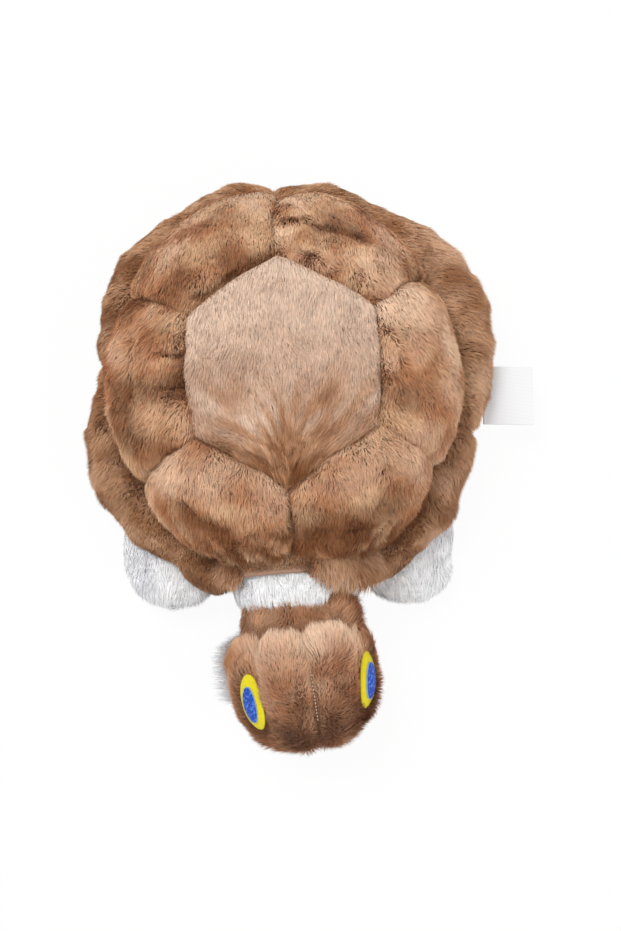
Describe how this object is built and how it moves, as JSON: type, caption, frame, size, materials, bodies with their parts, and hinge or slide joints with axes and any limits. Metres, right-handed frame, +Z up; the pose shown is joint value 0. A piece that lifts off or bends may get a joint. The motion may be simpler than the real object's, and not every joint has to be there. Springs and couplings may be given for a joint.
{
  "type": "plush turtle",
  "caption": "Stuffed fur-fabric turtle with a padded shell of sewn plates, a head on a turning neck, soft legs and a side label.",
  "frame": {"origin": "middle of the flat belly, on the surface that the toy stands on", "axes": "+Z up; the head points along -Y; +X is the side with the label"},
  "size_m": [0.3044, 0.3863, 0.1426],
  "materials": {
    "centre_fur": "long-pile beige plush",
    "shell_fur": "long-pile caramel brown plush",
    "rim_fur": "long-pile brown plush",
    "head_fur": "long-pile brown plush",
    "white_fur": "long-pile white plush",
    "fibre_filling": "polyester fibre wadding",
    "woven_tape": "woven satin tape",
    "yellow_felt": "short felt",
    "blue_felt": "short felt"
  },
  "bodies": {
    "shell": {"centre_plate": "centre_fur", "front_left_plate": "shell_fur", "front_right_plate": "shell_fur", "left_plate": "shell_fur", "right_plate": "shell_fur", "rear_left_plate": "shell_fur", "rear_right_plate": "shell_fur", "front_left_rim": "rim_fur", "front_right_rim": "rim_fur", "rear_left_rim": "rim_fur", "rear_right_rim": "rim_fur", "belly_panel": "white_fur", "neck_hem": "rim_fur", "shell_stuffing": "fibre_filling"},
    "neck": {"neck_collar": "white_fur", "neck_fur": "head_fur", "neck_stuffing": "fibre_filling"},
    "head": {"left_crown": "head_fur", "right_crown": "head_fur", "left_cheek": "head_fur", "right_cheek": "head_fur", "throat_panel": "white_fur", "head_stuffing": "fibre_filling", "left_iris": "yellow_felt", "right_iris": "yellow_felt", "left_pupil": "blue_felt", "right_pupil": "blue_felt"},
    "label": {"side_label": "woven_tape"},
    "front_left_leg": {"front_left_leg_fur": "white_fur", "front_left_leg_stuffing": "fibre_filling"},
    "front_right_leg": {"front_right_leg_fur": "white_fur", "front_right_leg_stuffing": "fibre_filling"},
    "rear_left_leg": {"rear_left_leg_fur": "white_fur", "rear_left_leg_stuffing": "fibre_filling"},
    "rear_right_leg": {"rear_right_leg_fur": "white_fur", "rear_right_leg_stuffing": "fibre_filling"}
  },
  "joints": [
    {"name": "neck_turn", "type": "hinge", "parent": "shell", "child": "neck", "pos_m": [0.001, -0.124, 0.0425], "axis": [0, 0, 1], "range_deg": [-20, 20], "stiffness_Nm_per_rad": 1.2},
    {"name": "head_nod", "type": "hinge", "parent": "neck", "child": "head", "pos_m": [0.001, -0.186, 0.0425], "axis": [0.9848, 0.1384, -0.1045], "range_deg": [-20, 20], "stiffness_Nm_per_rad": 1},
    {"name": "front_left_leg_flap", "type": "hinge", "parent": "shell", "child": "front_left_leg", "pos_m": [-0.08, -0.088, 0.0178], "axis": [0.9976, -0.0698, 0], "range_deg": [0, 30], "stiffness_Nm_per_rad": 0.35},
    {"name": "front_right_leg_flap", "type": "hinge", "parent": "shell", "child": "front_right_leg", "pos_m": [0.073, -0.088, 0.0178], "axis": [0.9976, 0.0698, 0], "range_deg": [0, 30], "stiffness_Nm_per_rad": 0.35},
    {"name": "rear_left_leg_flap", "type": "hinge", "parent": "shell", "child": "rear_left_leg", "pos_m": [-0.064, 0.072, 0.0178], "axis": [-0.788, -0.6157, 0], "range_deg": [0, 30], "stiffness_Nm_per_rad": 0.35},
    {"name": "rear_right_leg_flap", "type": "hinge", "parent": "shell", "child": "rear_right_leg", "pos_m": [0.064, 0.072, 0.0178], "axis": [-0.788, 0.6157, 0], "range_deg": [0, 30], "stiffness_Nm_per_rad": 0.35},
    {"name": "label_flap", "type": "hinge", "parent": "shell", "child": "label", "pos_m": [0.13725, -0.0096, 0.02703], "axis": [0.0698, 0.9976, 0], "range_deg": [-30, 30], "stiffness_Nm_per_rad": 0.0015}
  ]
}
